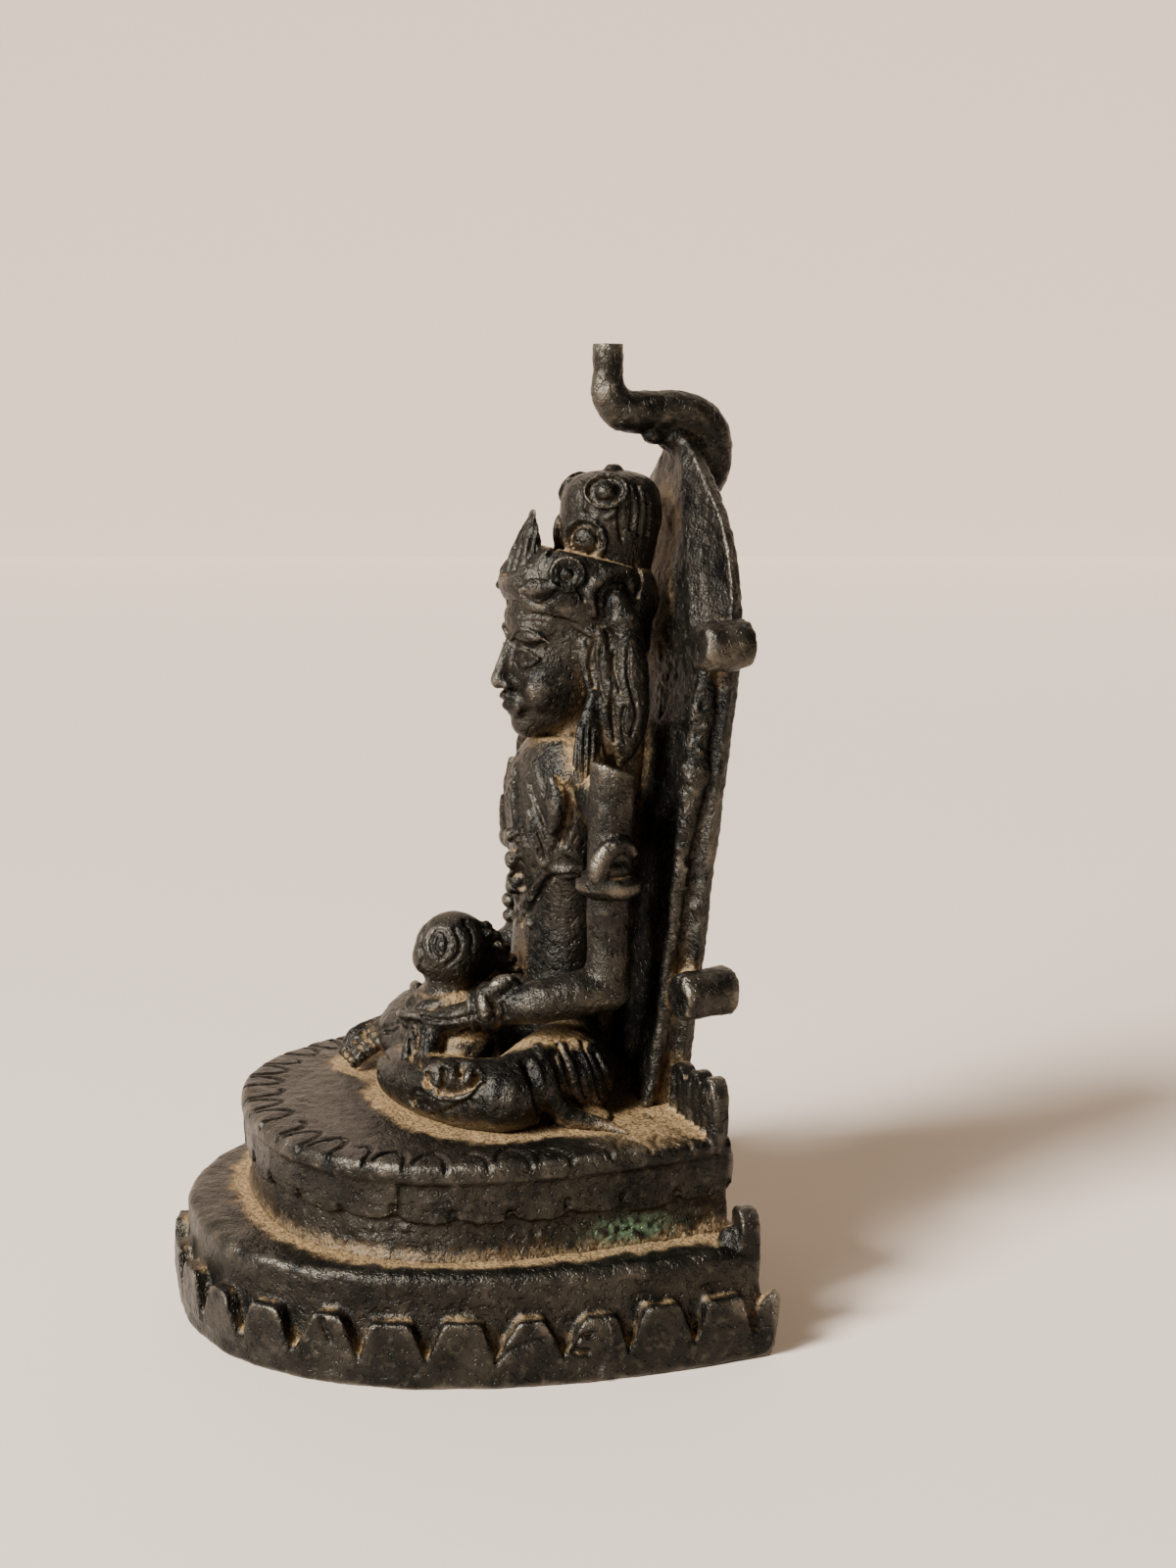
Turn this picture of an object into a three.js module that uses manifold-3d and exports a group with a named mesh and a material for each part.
// Seated mother with a child on her lap, one small bronze casting, about 200 mm tall.
// Millimetres. X is to her left, -Y is the front she faces, Z is up, the table is Z = 0.
// Every size below is measured from the middle of the pedestal's flat back edge; the
// finished solid is moved at the end so that the middle of its footprint is the origin.
import * as THREE from "three";
import { mergeVertices } from "three/addons/utils/BufferGeometryUtils.js";
import Module from "manifold-3d";

const wasm = await Module();
wasm.setup();

const TAU = Math.PI * 2;
const TRIANGLES = 9900;

// Pedestal: two stepped tiers with the plan of a capital D, flat side at the back.
const LOWER = { half: 60.2, depth: 99.4, straight: 0, square: 2.33 };
const UPPER = { half: 51.0, depth: 86.7, straight: 25.7, square: 2.43 };
const LOWER_TOP = 22.3;
const SEAT = 42.5;
const PLINTH_PROUD = 3.1;
const PLINTH_TOP = 6.0;
const BASE_PETAL = { tip: 14.2, width: 10.5, pitch: 15.6, thick: 2.9 };
const HANG_PETAL = { top: 38.2, tip: 30.6, width: 11.0, pitch: 12.6, thick: 1.5 };
const UPRIGHT = { thick: 3.0, width: 8.4, tall: 11.5 };
const CORNER_POST = { width: 6.5, thick: 3.2, tall: 8.6 };

// Back plate: a leaf that leans back, thick below and bevelled to a thin edge above.
const PLATE_LEAN = 0.117;
const PLATE_FOOT = { z: 42, front: -8.1, thick: 8.6 };
const PLATE_LEVELS = [
  { z: 42.0, flat: 27.0, edge: 29.0 },
  { z: 58.0, flat: 26.6, edge: 28.8 },
  { z: 75.0, flat: 27.0, edge: 29.2 },
  { z: 88.0, flat: 28.2, edge: 29.4 },
  { z: 97.0, flat: 26.8, edge: 29.2 },
  { z: 107.0, flat: 28.6, edge: 29.6 },
  { z: 116.0, flat: 26.8, edge: 29.8 },
  { z: 126.0, flat: 28.4, edge: 30.0 },
  { z: 135.0, flat: 25.4, edge: 30.2 },
  { z: 142.0, flat: 20.5, edge: 29.8 },
  { z: 150.0, flat: 16.5, edge: 28.5 },
  { z: 158.0, flat: 13.6, edge: 26.2 },
  { z: 165.0, flat: 11.0, edge: 21.8 },
  { z: 171.0, flat: 8.6, edge: 15.4 },
  { z: 176.0, flat: 5.6, edge: 9.8 },
  { z: 180.5, flat: 3.6, edge: 4.6 },
];
const PLATE_BACK_LIMIT = 12.2;
const EDGE_LIMIT = 9.2;
const LUGS = [
  { x: 33.4, z: 67.2, from: -2.3, to: 9.6, radius: 5.1 },
  { x: 33.6, z: 139.3, from: 0.2, to: 12.4, radius: 5.7 },
];

const RIM_TOP = 136;
const RIM_PROUD = 1.0;

// Rod that rises behind the plate, bends forward over it and ends in a cut stub.
const ROD = [
  { y: 14.0, z: 166.0, r: 2.0 },
  { y: 17.3, z: 171.5, r: 3.0 },
  { y: 18.0, z: 178.0, r: 3.8 },
  { y: 15.6, z: 183.2, r: 4.3 },
  { y: 10.0, z: 185.6, r: 4.5 },
  { y: 3.0, z: 185.6, r: 4.5 },
  { y: -3.2, z: 186.0, r: 4.5 },
  { y: -6.4, z: 189.5, r: 3.9 },
  { y: -6.7, z: 194.0, r: 3.3 },
];
const ROD_TOP = { y: -6.7, z: 200, radius: 3.2 };

// Stacked ovals for the trunk: height, half width, front and back.
const TRUNK = [
  { z: 43.0, half: 19.0, front: -31.0, back: -13.0 },
  { z: 56.0, half: 17.0, front: -30.0, back: -11.5 },
  { z: 70.0, half: 14.0, front: -28.8, back: -10.0 },
  { z: 80.0, half: 14.0, front: -28.4, back: -9.5 },
  { z: 90.0, half: 16.5, front: -29.0, back: -8.8 },
  { z: 100.0, half: 19.5, front: -29.4, back: -8.0 },
  { z: 108.0, half: 21.5, front: -28.6, back: -7.6 },
  { z: 113.5, half: 20.5, front: -26.4, back: -7.8 },
  { z: 118.5, half: 12.0, front: -23.4, back: -8.4 },
];

const vec = (x, y, z) => new THREE.Vector3(x, y, z);

function solidOf(geometry) {
  const bare = geometry.index ? geometry.clone() : geometry;
  bare.deleteAttribute("normal");
  bare.deleteAttribute("uv");
  const merged = mergeVertices(bare, 1e-4);
  const mesh = new wasm.Mesh({
    numProp: 3,
    vertProperties: Float32Array.from(merged.attributes.position.array),
    triVerts: Uint32Array.from(merged.index.array),
  });
  mesh.merge();
  return new wasm.Manifold(mesh);
}

// An ellipsoid from a subdivided icosahedron: 0 for a bead, 1 or 2 for larger forms.
function ball(x, y, z, rx, ry, rz, detail = 1) {
  const g = new THREE.IcosahedronGeometry(detail === 0 ? 1.08 : 1.02, detail);
  g.rotateX(0.3);
  g.scale(rx, ry, rz);
  g.translate(x, y, z);
  return solidOf(g);
}

// A smooth round limb through knots of the form [x, y, z, radius], with domed ends.
function tube(knots, around = 6) {
  const points = knots.map(([x, y, z]) => vec(x, y, z));
  const curve = new THREE.CatmullRomCurve3(points, false, "centripetal");
  const last = knots.length - 1;
  const stations = knots.map(([, , , radius], i) => ({
    spot: points[i],
    along: curve.getTangent(last === 0 ? 0 : i / last),
    radius,
  }));
  for (const [end, sign] of [[0, -1], [last, 1]]) {
    const base = stations[sign < 0 ? 0 : stations.length - 1];
    const dome = {
      spot: points[end].clone().addScaledVector(base.along, sign * knots[end][3] * 0.72),
      along: base.along,
      radius: base.radius * 0.62,
    };
    if (sign < 0) {
      stations.unshift(dome);
    } else {
      stations.push(dome);
    }
  }
  let side = vec(0.31, 0.17, 0.93).cross(stations[0].along).normalize();
  const frames = stations.map(({ along }) => {
    side = side.clone().addScaledVector(along, -side.dot(along)).normalize();
    return { side, lift: along.clone().cross(side).normalize() };
  });
  return loft(stations.length, around, (level, turn) => {
    const { spot, radius } = stations[level];
    if (turn < 0) {
      return spot.clone();
    }
    const a = (turn / around) * TAU;
    return spot.clone()
      .addScaledVector(frames[level].side, radius * Math.cos(a))
      .addScaledVector(frames[level].lift, radius * Math.sin(a));
  });
}

// A ring about an axis through a point.
function ring(x, y, z, radius, tube, axis, around = 12, section = 6) {
  const g = new THREE.TorusGeometry(radius, tube, section, around);
  g.applyQuaternion(new THREE.Quaternion().setFromUnitVectors(vec(0, 0, 1), axis.normalize()));
  g.translate(x, y, z);
  return solidOf(g);
}

// A closed skin over stacked outlines: at(level, turn) gives the point on one outline.
function loft(levels, around, at) {
  const g = new THREE.CylinderGeometry(1, 1, 1, around, levels - 1, false);
  const p = g.attributes.position;
  for (let i = 0; i < p.count; i += 1) {
    const level = Math.round((p.getY(i) + 0.5) * (levels - 1));
    const reach = Math.hypot(p.getX(i), p.getZ(i));
    const turn = reach < 0.5 ? 0 : Math.round((Math.atan2(p.getX(i), p.getZ(i)) / TAU) * around);
    const wrapped = ((turn % around) + around) % around;
    const rim = at(level, wrapped);
    const middle = at(level, -1);
    const spot = reach < 0.5 ? middle : rim;
    p.setXYZ(i, spot.x, spot.y, spot.z);
  }
  return solidOf(g);
}

// A flat cut-out of the given thickness that stands up and faces outward.
function tablet(points, thick, bevel = 0) {
  const shape = new THREE.Shape(points.map(([x, y]) => new THREE.Vector2(x, y)));
  const g = new THREE.ExtrudeGeometry(shape, {
    depth: thick,
    steps: 1,
    bevelEnabled: bevel > 0,
    bevelSize: bevel,
    bevelOffset: -bevel,
    bevelThickness: bevel,
    bevelSegments: 1,
  });
  g.rotateX(Math.PI / 2);
  return g;
}

// Plan of a tier: a squared half oval in front and a straight back edge.
function planPoint(plan, angle, proud) {
  const c = Math.cos(angle);
  const s = Math.max(Math.sin(angle), 0);
  const power = 2 / plan.square;
  const x = plan.half * Math.sign(c) * Math.abs(c) ** power;
  const y = -plan.straight - (plan.depth - plan.straight) * s ** power;
  const away = new THREE.Vector2(x / plan.half, (y + plan.depth * 0.45) / plan.depth).normalize();
  return new THREE.Vector2(x + proud * away.x, y + proud * away.y);
}

// The whole closed outline of a tier, counter-clockwise from its back left corner.
function outline(plan, proud, count) {
  const fine = [new THREE.Vector2(-plan.half - proud, Math.max(proud, 0))];
  for (let i = 120; i >= 0; i -= 1) {
    fine.push(planPoint(plan, Math.PI * (i / 120), proud));
  }
  fine.push(new THREE.Vector2(plan.half + proud, Math.max(proud, 0)));
  const path = new THREE.CurvePath();
  for (let i = 0; i < fine.length; i += 1) {
    path.add(new THREE.LineCurve(fine[i], fine[(i + 1) % fine.length]));
  }
  const points = [];
  for (let i = 0; i < count; i += 1) {
    points.push(path.getPoint(i / count));
  }
  return { path, points };
}

function pedestal() {
  const around = 38;
  const steps = [
    { plan: LOWER, proud: PLINTH_PROUD, z: 0 },
    { plan: LOWER, proud: PLINTH_PROUD, z: PLINTH_TOP - 0.6 },
    { plan: LOWER, proud: 0.4, z: PLINTH_TOP + 0.6 },
    { plan: LOWER, proud: 0, z: LOWER_TOP - 1.2 },
    { plan: LOWER, proud: -1.2, z: LOWER_TOP },
    { plan: UPPER, proud: -1.8, z: LOWER_TOP + 0.2 },
    { plan: UPPER, proud: -1.8, z: HANG_PETAL.top - 0.6 },
    { plan: UPPER, proud: 0, z: HANG_PETAL.top },
    { plan: UPPER, proud: 0, z: SEAT - 1.3 },
    { plan: UPPER, proud: -1.2, z: SEAT },
  ];
  const rims = steps.map((s) => outline(s.plan, s.proud, around).points);
  return loft(steps.length, around, (level, turn) => {
    const step = steps[level];
    if (turn < 0) {
      return vec(0, -step.plan.depth * 0.45, step.z);
    }
    const p = rims[level][turn];
    return vec(p.x, p.y, step.z);
  });
}

// Places copies of a standing tablet at equal steps round a tier's curved side, then
// more widely spaced ones along its flat back.
function alongOutline(plan, proud, pitch, z, make) {
  const curve = new THREE.CatmullRomCurve3(
    Array.from({ length: 41 }, (_, i) => {
      const p = planPoint(plan, Math.PI * (1 - i / 40), proud);
      return vec(p.x, p.y, 0);
    }),
  );
  const count = Math.round(curve.getLength() / pitch);
  const parts = [];
  for (let i = 0; i < count; i += 1) {
    const u = (i + 0.5) / count;
    const here = curve.getPointAt(u);
    const along = curve.getTangentAt(u);
    const g = make();
    g.rotateZ(Math.atan2(along.y, along.x));
    g.translate(here.x, here.y, z);
    parts.push(solidOf(g));
  }
  for (let i = -2; i <= 2; i += 1) {
    const g = make();
    g.rotateZ(Math.PI);
    g.translate(i * plan.half * 0.38, Math.max(proud, 0) - 0.1, z);
    parts.push(solidOf(g));
  }
  return parts;
}

// Upright lotus petals round the foot: broad, with a short tip.
function basePetal() {
  const w = BASE_PETAL.width / 2;
  const h = BASE_PETAL.tip - PLINTH_TOP + 1.2;
  const g = tablet([[-w - 1.4, -1], [w + 1.4, -1], [w * 0.8, h * 0.7], [0, h], [-w * 0.8, h * 0.7]],
    BASE_PETAL.thick + 1.2);
  g.translate(0, 1.2, 0);
  return g;
}

// Petals that hang from the seat's rim.
function hangingPetal() {
  const w = HANG_PETAL.width / 2;
  const h = HANG_PETAL.top - HANG_PETAL.tip;
  const g = tablet([[-w, 0.6], [-w * 0.8, -h * 0.8], [0, -h], [w * 0.8, -h * 0.8], [w, 0.6]],
    HANG_PETAL.thick + 1.4);
  g.translate(0, 1.6, 0);
  return g;
}

// Low upturned petals on the back edge of the seat and a post on each lower corner.
function backEdge() {
  const parts = [];
  for (const side of [-1, 1]) {
    for (let i = 0; i < 3; i += 1) {
      const w = UPRIGHT.width / 2;
      const h = UPRIGHT.tall - i * 0.8;
      const g = tablet([[-w, -2], [w, -2], [w, h * 0.75], [w * 0.4, h], [-w * 0.4, h], [-w, h * 0.75]],
        UPRIGHT.thick);
      g.translate(side * (30.4 + i * 7.9), -1.8, SEAT);
      parts.push(solidOf(g));
    }
    const w = CORNER_POST.width / 2;
    const h = CORNER_POST.tall;
    const post = tablet([[-w, -2], [w, -2], [w, h * 0.7], [w * 0.4, h], [-w * 0.4, h], [-w, h * 0.7]],
      CORNER_POST.thick);
    post.translate(side * 56.2, 0, LOWER_TOP - 1);
    parts.push(solidOf(post));
  }
  return parts;
}

const plateFront = (z) => PLATE_FOOT.front + PLATE_LEAN * (z - PLATE_FOOT.z);

function plate() {
  // Half of the section: middle of the face, foot and crest of the rim, edge, back.
  const body = loft(PLATE_LEVELS.length, 9, (level, turn) => {
    const { z, flat, edge } = PLATE_LEVELS[level];
    const front = plateFront(z);
    const back = Math.min(front + PLATE_FOOT.thick, PLATE_BACK_LIMIT);
    const ridge = Math.min(front + 4.8, EDGE_LIMIT);
    const rim = z < RIM_TOP ? RIM_PROUD : 0;
    if (turn < 0) {
      return vec(0, (front + back) / 2, z);
    }
    const lobe = level % 2 && rim > 0 ? 1.2 : 0;
    const half = [
      vec(0, front, z), vec(flat - 3.4, front, z), vec(flat, front - rim, z),
      vec(edge + lobe, ridge, z), vec(edge - 1.6, back, z),
    ];
    return turn < 5 ? half[turn] : half[9 - turn].multiply(vec(-1, 1, 1));
  });
  const parts = [body];
  for (const side of [-1, 1]) {
    for (const lug of LUGS) {
      const g = new THREE.CylinderGeometry(lug.radius, lug.radius * 0.98, lug.to - lug.from, 11);
      g.translate(side * lug.x, (lug.to + lug.from) / 2, lug.z);
      parts.push(solidOf(g));
    }
    parts.push(tube([[side * 28.6, 2.2, 46, 2.2], [side * 30, 4.4, 62, 3.0]], 4));
  }
  return parts;
}

function rod() {
  const stub = new THREE.CylinderGeometry(ROD_TOP.radius, 3.3, 7, 9);
  stub.rotateX(Math.PI / 2);
  stub.translate(0, ROD_TOP.y, ROD_TOP.z - 3.5);
  return [tube(ROD.map((k) => [0, k.y, k.z, k.r]), 9), solidOf(stub), ball(0, 9.6, 180.6, 4.2, 3.6, 3.4, 0)];
}

function trunk() {
  const around = 12;
  const body = loft(TRUNK.length, around, (level, turn) => {
    const { z, half, front, back } = TRUNK[level];
    const middle = (front + back) / 2;
    if (turn < 0) {
      return vec(0, middle, z);
    }
    const a = (turn / around) * TAU;
    return vec(half * Math.sin(a), middle - ((back - front) / 2) * Math.cos(a), z);
  });
  // The trunk joins the plate down the middle of its back.
  const parts = [body, tube([[0, -7.5, 52, 4], [0, -1.5, 116, 5]], 6)];
  for (const side of [-1, 1]) {
    parts.push(ball(side * 10.2, -22.6, 96.5, 7.2, 5.8, 6.8, 1));
  }
  return parts;
}

// Chain of beads, flower boss and knot on the chest, with the strings that hold them.
function ornaments() {
  const parts = [
    ball(0.0, -29.0, 96.0, 2.0, 1.6, 2.4, 0),
    ball(0.5, -28.6, 90.6, 2.2, 1.6, 2.6, 0),
    ball(4.0, -27.6, 87.4, 3.0, 2.2, 3.0, 1),
    ball(0.2, -28.0, 81.6, 3.0, 2.6, 4.4, 0),
  ];
  for (const side of [-1, 1]) {
    parts.push(tube([
      [side * 2, -28.2, 83, 2.0], [side * 10, -25.6, 87.5, 1.9], [side * 16.5, -20.5, 92.5, 1.6],
    ], 4));
    parts.push(tube([
      [side * 9.5, -22.4, 117, 1.3], [side * 7.5, -27.0, 108, 1.3], [side * 3.4, -28.6, 99, 1.3],
    ], 4));
    parts.push(ball(side * 13.8, -23.4, 104.2, 2.4, 2.2, 4.4, 0));
    parts.push(ball(side * 9.6, -27.0, 97.4, 2.3, 2.0, 4.2, 0));
  }
  return parts;
}

function armOf(side) {
  // Flat topped shoulder.
  const cap = new THREE.CylinderGeometry(4.6, 5.3, 5.2, 8);
  cap.rotateX(Math.PI / 2);
  cap.translate(side * 24.6, -15.6, 112);
  return [
    tube([[side * 25.2, -16.8, 110.4, 4.9], [side * 26.0, -17.4, 68, 4.8]], 8),
    solidOf(cap),
    tube([[side * 17, -17, 109, 6.0], [side * 24, -16, 109.6, 5.2]], 6),
    // Armlet with its upright loop.
    ring(side * 25.9, -17.2, 91.6, 4.9, 1.6, vec(0, 0, 1), 8, 3),
    ring(side * 29.6, -15.4, 96.4, 3.2, 1.2, vec(1, 0, 0), 6, 3),
  ];
}

// Her left arm reaches forward and its hand closes round the child.
function leftForearm() {
  const parts = [
    tube([[26.2, -17.6, 66.6, 5.1], [24.4, -29.5, 66.4, 4.9], [17.0, -42.4, 64.8, 3.9]], 8),
    ring(18.2, -40.2, 65.4, 4.2, 1.7, vec(0.52, 0.85, 0.1), 8, 3),
    tube([[17.0, -42.4, 64.6, 4.0], [12.4, -46.4, 62.6, 4.4]], 6),
  ];
  for (let i = 0; i < 4; i += 1) {
    const z = 64.6 - i * 2.2;
    parts.push(tube([[13.4, -46.0, z, 1.7], [9.6, -50.6, z - 1.0, 1.6], [4.4, -54.4 + i * 0.5, z - 2.2, 1.3]], 4));
  }
  parts.push(tube([[14.6, -43.4, 66.6, 1.8], [9.8, -46.8, 66.4, 1.5]], 4));
  return parts;
}

// Her right hand rests palm up on the right knee.
function rightForearm() {
  const parts = [
    tube([[-26.0, -17.6, 66.6, 4.9], [-26.6, -32, 61, 4.7], [-26.2, -43.6, 55, 3.9]], 7),
    ring(-26.3, -42.0, 55.8, 4.2, 1.5, vec(0, 0.88, 0.46), 8, 3),
    tube([[-26.0, -44.6, 54.2, 3.8], [-24.6, -50.4, 51.6, 4.2]], 6),
  ];
  for (let i = 0; i < 4; i += 1) {
    const x = -28.4 + i * 2.9;
    parts.push(tube([[x, -52.0, 51.0, 1.8], [x + 0.6, -56.6, 50.2 - i * 0.6, 1.7], [x + 1.0, -59.2, 46.4, 1.4]], 4));
  }
  parts.push(tube([[-22.2, -49, 53.0, 1.9], [-19.0, -53.4, 52.4, 1.6]], 4));
  return parts;
}

function legs() {
  const parts = [
    // Left thigh and shin, then the right ones, whose foot lies sole up in the bend.
    tube([[13, -22, 51.5, 9.6], [28.6, -39.5, 50.6, 8.0]], 8),
    tube([[28.6, -40.5, 49.8, 7.8], [15, -50.5, 48.8, 6.4], [2.5, -53.4, 48.4, 5.6]], 8),
    tube([[-13, -22, 51.5, 9.6], [-28.6, -39.5, 50.6, 8.0]], 8),
    tube([[-28.6, -40.5, 50.2, 7.4], [-8, -47.5, 50.8, 5.4], [10.5, -46.0, 49.8, 4.2]], 8),
    ball(12.2, -45.6, 49.2, 4.6, 5.6, 3.6),
  ];
  for (let i = 0; i < 4; i += 1) {
    const y = -50.4 + i * 2.9;
    parts.push(ball(15.4, y, 47.4, 2.4, 1.5, 1.7, 0));
  }
  return parts;
}

function drapery() {
  const parts = [];
  for (const side of [-1, 1]) {
    parts.push(ball(side * 19.5, -26, 49.6, 11.2, 12.6, 9.6, 1));
    // Pleats that fall over the hip to the seat.
    for (let i = 0; i < 3; i += 1) {
      const y = -30.5 + i * 5.2;
      parts.push(tube([
        [side * (20.0 - i * 1.6), y + 0.6, 58.4 - i * 0.4, 1.5],
        [side * (28.2 - i * 1.3), y + 1.4, 53.0, 1.7],
        [side * (32.0 - i * 0.4), y + 3.0, 43.6, 1.8],
      ], 4));
    }
    // Cloth end that trails back along the seat to a point.
    parts.push(tube([
      [side * 34.6, -36.6, 51.6, 1.5], [side * 36.6, -33.0, 46.0, 1.8],
      [side * 37.6, -26.6, 43.6, 1.9], [side * 38.4, -18.6, 43.0, 1.2],
    ], 4));
    parts.push(ball(side * 33.6, -25.4, 43.2, 5.4, 7.2, 1.9, 0));
  }
  return parts;
}

// Nose, lips, lids, brows and ears of a calm, regular face.
function head() {
  const parts = [
    ball(0, -14.5, 137.5, 12.6, 14.0, 15.2, 2),
    ball(0, -18.6, 127.6, 10.2, 9.8, 10.0, 1),
    ball(0, -25.2, 121.4, 4.6, 4.0, 3.4, 0),
    tube([[0, -13, 114, 8], [0, -13, 124, 8]], 6),
    tube([[0, -28.2, 138.6, 1.3], [0, -30.2, 131.2, 2.0]], 5),
    ball(0, -27.9, 126.2, 3.2, 1.7, 0.9, 0),
    ball(0, -27.4, 124.4, 2.7, 1.7, 1.0, 0),
  ];
  for (const side of [-1, 1]) {
    parts.push(ball(side * 5.4, -26.4, 136.6, 2.9, 1.5, 1.5, 0));
    parts.push(tube([
      [side * 1.8, -28.3, 139.4, 0.7], [side * 5.4, -27.2, 141.2, 0.8], [side * 9.2, -23.8, 139.8, 0.6],
    ], 4));
    parts.push(tube([[side * 12.2, -16.2, 139.2, 2.1], [side * 12.6, -16.8, 128.8, 2.4]], 5));
  }
  return parts;
}

function hair() {
  const parts = [
    ball(0, -7.4, 141.5, 14.0, 10.4, 14.0, 1),
    ball(0, -13.8, 149.4, 14.8, 15.6, 11.8, 1),
    // Tall bun with a small knob.
    ball(0, -6.2, 165.0, 10.4, 10.8, 9.4, 1),
    tube([[0, -7.0, 152, 9.6], [0, -6.4, 160, 9.0]], 9),
    ball(0, -5.8, 174.0, 1.9, 1.9, 1.5, 0),
    // Band of the diadem.
    ring(0, -14.6, 146.4, 14.2, 1.8, vec(0, -0.2, 1), 14, 3),
  ];
  // Leaf that stands on the front of the diadem.
  const leaf = tablet([[-4.2, -2], [4.2, -2], [4.8, 3.4], [0, 11.4], [-4.8, 3.4]], 2.6);
  leaf.rotateX(-0.3);
  leaf.translate(0, -26.4, 153.6);
  parts.push(solidOf(leaf));
  for (const side of [-1, 1]) {
    parts.push(ball(side * 10.2, -22.6, 152.6, 3.0, 2.8, 3.0, 0));
    parts.push(ball(side * 5.0, -26.6, 149.0, 3.4, 2.4, 2.2, 0));
    parts.push(ring(side * 8.8, -9.6, 169.0, 3.0, 1.1, vec(side, -0.35, 0.1), 7, 3));
    parts.push(ball(side * 9.6, -14.0, 159.4, 2.6, 2.6, 2.6, 0));
    parts.push(ring(side * 9.6, -13.6, 159.4, 3.8, 1.0, vec(side, -0.5, 0), 7, 3));
    // Horseshoe curl over the temple and the locks behind the ear.
    parts.push(tube([
      [side * 13.8, -15.6, 146.0, 1.7], [side * 14.0, -11.0, 152.0, 1.7],
      [side * 13.6, -6.0, 147.0, 1.7],
    ], 4));
    parts.push(tube([
      [side * 13.4, -10.0, 146.0, 3.6], [side * 14.8, -8.2, 129.0, 4.1],
      [side * 16.2, -9.4, 116.6, 3.0],
    ], 6));
    // Tassel that falls on the front of the shoulder.
    parts.push(tube([
      [side * 14.0, -15.4, 128.0, 2.0], [side * 16.6, -17.8, 118.0, 2.9], [side * 18.2, -19.0, 108.6, 1.5],
    ], 5));
  }
  return parts;
}

// The child sits in her lap and looks up at her.
function child() {
  const parts = [
    ball(2, -42.8, 73.0, 7.6, 8.2, 8.4, 1),
    ball(2, -37.4, 71.0, 4.6, 4.2, 5.0, 0),
    ball(2, -51.0, 69.4, 2.2, 1.5, 2.8, 0),
    tube([[2, -46.4, 60, 4.6], [2, -45.4, 67.5, 4.3]], 7),
    ring(2, -46.4, 63.6, 4.4, 1.2, vec(0, -0.2, 1), 8, 3),
    ball(1.5, -48.4, 56.4, 7.6, 8.2, 8.6, 1),
    tube([[4.8, -53.2, 57.4, 2.3], [6.0, -53.6, 49.6, 1.9]], 5),
  ];
  for (const side of [-1, 1]) {
    parts.push(ball(2 + side * 6.9, -46.8, 74.6, 1.6, 2.3, 3.6, 0));
    parts.push(tube([
      [1.5 + side * 6.2, -46.4, 61.0, 2.6], [1.5 + side * 4.4, -39.4, 63.0, 2.2],
      [1.5 + side * 2.6, -33.6, 65.4, 1.9],
    ], 5));
    parts.push(tube([[1.5 + side * 6.6, -48.6, 56.4, 3.1], [1.5 + side * 8.2, -49.6, 49.2, 2.6]], 5));
  }
  return parts;
}

const everything = [
  pedestal(),
  ...alongOutline(LOWER, 0.4, BASE_PETAL.pitch, PLINTH_TOP - 0.8, basePetal),
  ...alongOutline(UPPER, -1.6, HANG_PETAL.pitch, HANG_PETAL.top, hangingPetal),
  ...backEdge(),
  ...plate(),
  ...rod(),
  ...trunk(),
  ...ornaments(),
  ...armOf(1),
  ...armOf(-1),
  ...leftForearm(),
  ...rightForearm(),
  ...legs(),
  ...drapery(),
  ...head(),
  ...hair(),
  ...child(),
];

let statue = everything[0];
for (const piece of everything.slice(1)) {
  statue = statue.add(piece);
}

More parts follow.
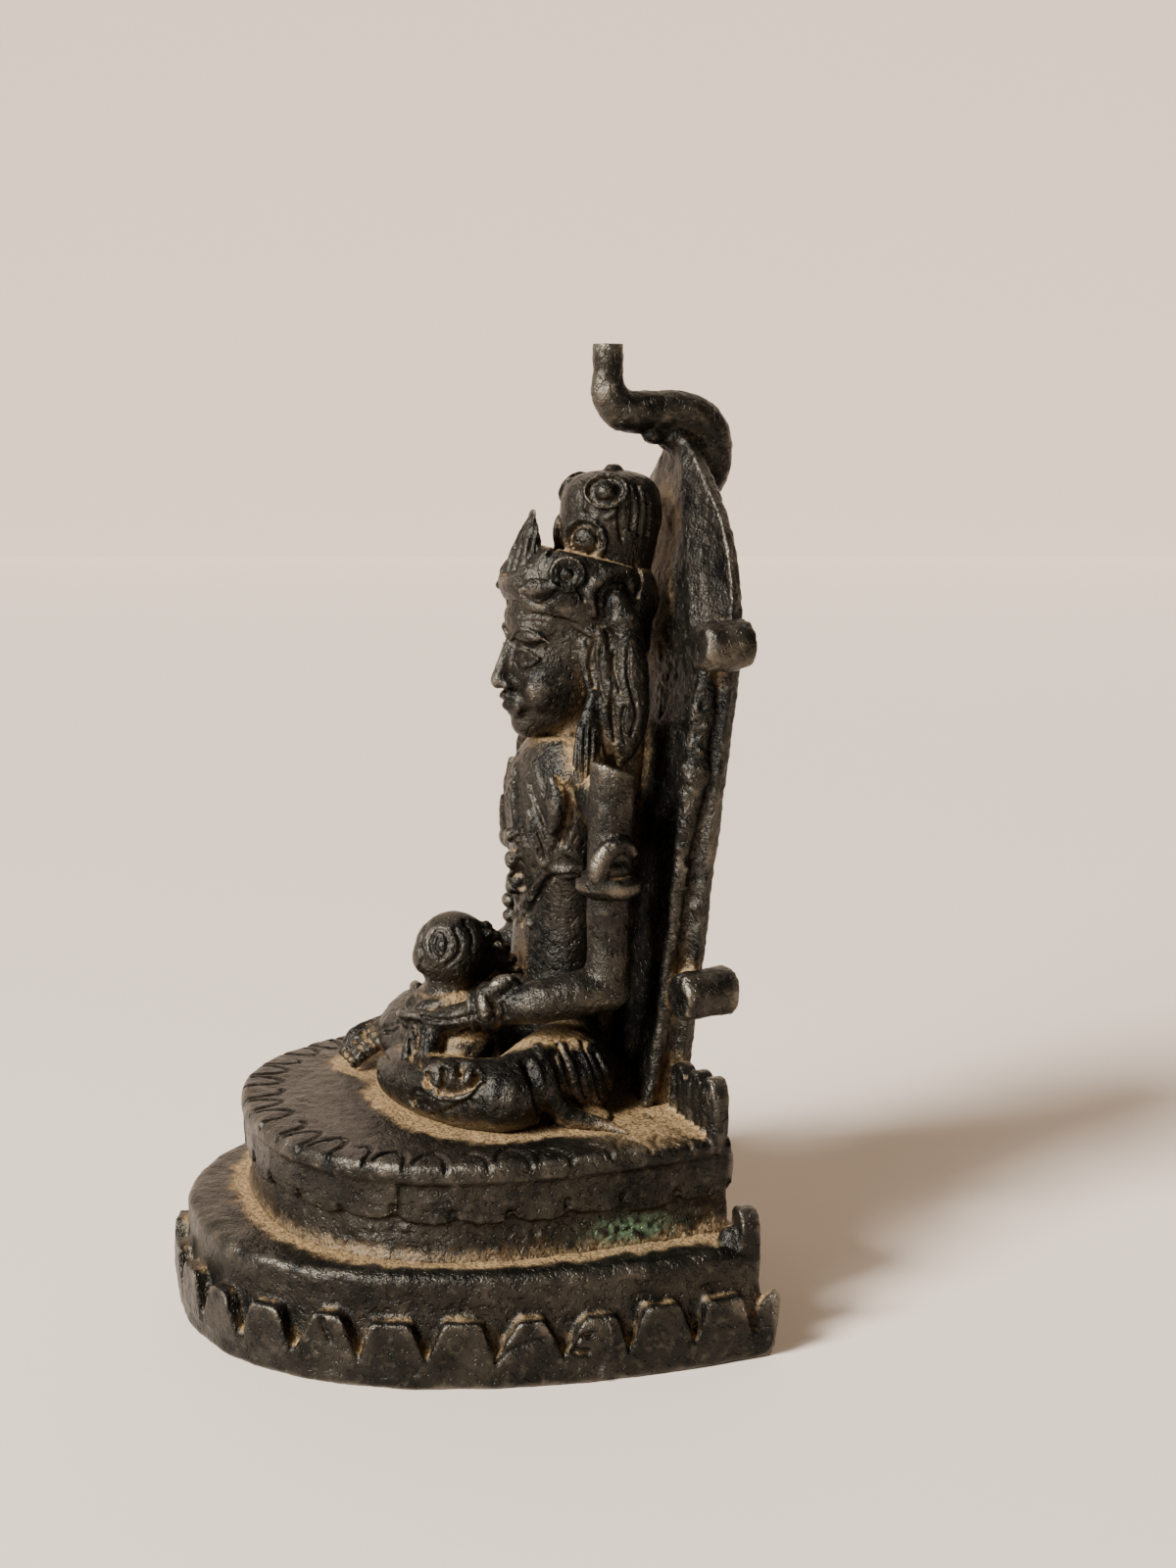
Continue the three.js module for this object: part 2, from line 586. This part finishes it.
// Thins a closed skin: a corner slides along an edge onto its neighbour wherever the faces
// round it stay within reach of where they were, which clears the slivers at the joins.
function thinned(skin, budget) {
  const spots = [];
  for (let i = 0; i < skin.vertProperties.length; i += 3) {
    spots.push(new THREE.Vector3().fromArray(skin.vertProperties, i));
  }
  const faces = [];
  const round = spots.map(() => new Set());
  for (let i = 0; i < skin.triVerts.length; i += 3) {
    const face = Array.from(skin.triVerts.subarray(i, i + 3));
    face.forEach((v) => round[v].add(faces.length));
    faces.push(face);
  }
  const planeOf = (face) => new THREE.Plane().setFromCoplanarPoints(...face.map((v) => spots[v]));
  const neighbours = (v) => new Set([...round[v]].flatMap((f) => faces[f]).filter((w) => w !== v));
  let left = faces.length;

  function slide(from, to, reach) {
    const near = neighbours(to);
    if ([...neighbours(from)].filter((v) => near.has(v)).length !== 2) {
      return false;
    }
    for (const f of round[from]) {
      const plane = planeOf(faces[f]);
      if (Math.abs(plane.distanceToPoint(spots[to])) > reach) {
        return false;
      }
      if (!faces[f].includes(to)) {
        const moved = faces[f].map((v) => spots[v === from ? to : v]);
        const turned = new THREE.Triangle(...moved);
        if (turned.getArea() < 1e-3 || turned.getNormal(vec(0, 0, 0)).dot(plane.normal) < 0.6) {
          return false;
        }
      }
    }
    for (const f of [...round[from]]) {
      if (faces[f].includes(to)) {
        faces[f].forEach((v) => round[v].delete(f));
        faces[f] = null;
        left -= 1;
      } else {
        faces[f] = faces[f].map((v) => (v === from ? to : v));
        round[to].add(f);
      }
    }
    round[from].clear();
    return true;
  }

  for (let reach = 0.02; left > budget && reach < 0.6; reach *= 1.25) {
    for (let v = 0; v < spots.length && left > budget; v += 1) {
      const order = round[v].size ? [...neighbours(v)] : [];
      order.sort((a, b) => spots[a].distanceToSquared(spots[v]) - spots[b].distanceToSquared(spots[v]));
      order.some((w) => slide(v, w, reach));
    }
  }
  const kept = new THREE.BufferGeometry().setFromPoints(spots);
  kept.setIndex(faces.filter((face) => face).flat());
  return mergeVertices(kept, 1e-5);
}

const geometry = thinned(statue.getMesh(), TRIANGLES);

// Origin: middle of the footprint's box, on the table.
geometry.computeBoundingBox();
const box = geometry.boundingBox;
geometry.translate(-(box.min.x + box.max.x) / 2, -(box.min.y + box.max.y) / 2, -box.min.z);
geometry.computeVertexNormals();

const bronze = new THREE.MeshStandardMaterial({ color: "#35302a", roughness: 0.5, metalness: 0.85 });
const mesh = new THREE.Mesh(geometry, bronze);
mesh.name = "hariti_statue";

const part = new THREE.Group();
part.name = "statue";
part.add(mesh);
export default part;
